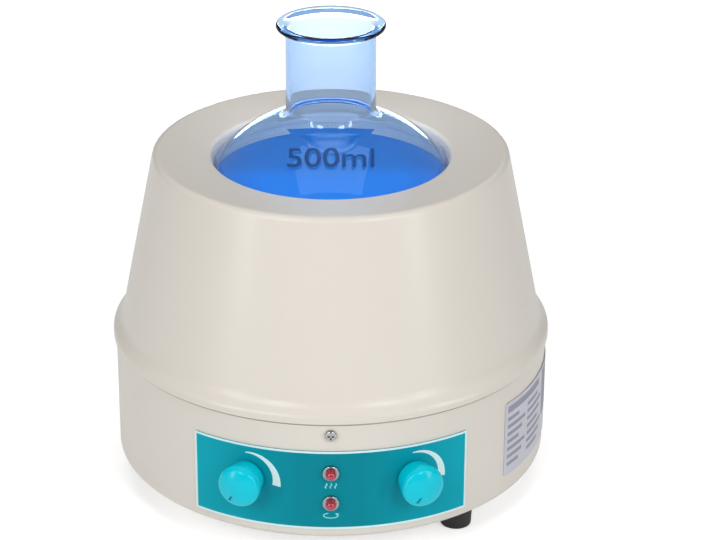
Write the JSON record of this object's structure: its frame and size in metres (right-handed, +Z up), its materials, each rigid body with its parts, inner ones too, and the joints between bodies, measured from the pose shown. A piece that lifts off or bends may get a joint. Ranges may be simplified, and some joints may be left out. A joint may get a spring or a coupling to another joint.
{
  "type": "heating mantle",
  "caption": "Round heating mantle with a magnetic stirrer: conical metal housing, teal control panel with domed knobs, and a round-bottom flask of blue liquid in its heated well.",
  "frame": {"origin": "on the mantle's axis, on the surface that its feet stand on", "axes": "+Z up along the flask's neck, -Y towards the control panel, +X to the right seen from the front"},
  "size_m": [0.2144, 0.2274, 0.231],
  "materials": {
    "painted_shell": "satin, fine texture",
    "bare_sheet": "zinc plated",
    "steel_fastener": "bright zinc",
    "black_rubber": "matt",
    "teal_label": "satin film",
    "silver_label": "satin foil",
    "cyan_plastic": "smooth",
    "red_lens": "clear tinted",
    "bezel_metal": "polished",
    "black_plastic": "moulded",
    "flask_glass": "clear",
    "blue_liquid": "clear tinted",
    "glass_fibre": "woven",
    "mineral_wool": "felted",
    "resistance_alloy": "oxidised",
    "pin_brass": "bright",
    "magnet_nickel": "plated",
    "carrier_aluminium": "turned",
    "board_laminate": "solder mask",
    "heatsink_aluminium": "anodised",
    "motor_steel": "semi-gloss",
    "core_steel": "varnished"
  },
  "bodies": {
    "mantle": {"base_housing": "painted_shell", "board_standoffs": "black_plastic", "bottom_plate": "bare_sheet", "bottom_plate_screws": "steel_fastener", "capacitor": "black_plastic", "control_board": "board_laminate", "control_label": "teal_label", "deck_plate": "bare_sheet", "flask": "flask_glass", "flask_liquid": "blue_liquid", "foot_nuts": "steel_fastener", "foot_screws": "steel_fastener", "front_right_foot": "black_rubber", "fuse_cap": "black_plastic", "fuse_holder": "black_plastic", "fuse_nut": "black_plastic", "heat_lamp": "red_lens", "heat_lamp_bezel": "bezel_metal", "heat_nut": "steel_fastener", "heat_potentiometer": "motor_steel", "heat_washer": "steel_fastener", "heater_cup": "glass_fibre", "heater_winding": "resistance_alloy", "heatsink": "heatsink_aluminium", "housing_pillars": "bare_sheet", "inlet_pins": "pin_brass", "insulation": "mineral_wool", "insulation_can": "bare_sheet", "lamp_nuts": "steel_fastener", "left_foot": "black_rubber", "mains_inlet": "black_plastic", "motor_screws": "steel_fastener", "pillar_screws": "steel_fastener", "rating_label": "silver_label", "rear_foot": "black_rubber", "side_screws": "steel_fastener", "stir_lamp": "red_lens", "stir_lamp_bezel": "bezel_metal", "stir_nut": "steel_fastener", "stir_potentiometer": "motor_steel", "stir_washer": "steel_fastener", "stirrer_motor": "motor_steel", "terminal_block": "black_plastic", "thermal_cutout": "black_plastic", "transformer": "core_steel", "triac": "black_plastic", "upper_housing": "painted_shell"},
    "heat_control": {"heat_knob": "cyan_plastic", "heat_shaft": "steel_fastener"},
    "stir_control": {"stir_knob": "cyan_plastic", "stir_shaft": "steel_fastener"},
    "stirrer_rotor": {"stirrer_shaft": "steel_fastener", "magnet_carrier": "carrier_aluminium", "stirrer_magnets": "magnet_nickel"}
  },
  "joints": [
    {"name": "heat_knob_turn", "type": "hinge", "parent": "mantle", "child": "heat_control", "pos_m": [-0.0405, -0.10388, 0.0434], "axis": [0.3633, 0.9317, 0], "range_deg": [0, 300]},
    {"name": "stir_knob_turn", "type": "hinge", "parent": "mantle", "child": "stir_control", "pos_m": [0.0405, -0.10388, 0.0434], "axis": [-0.3633, 0.9317, 0], "range_deg": [0, 300]},
    {"name": "stirrer_spin", "type": "hinge", "parent": "mantle", "child": "stirrer_rotor", "pos_m": [0, 0, 0.082], "axis": [0, 0, 1], "continuous": true}
  ]
}
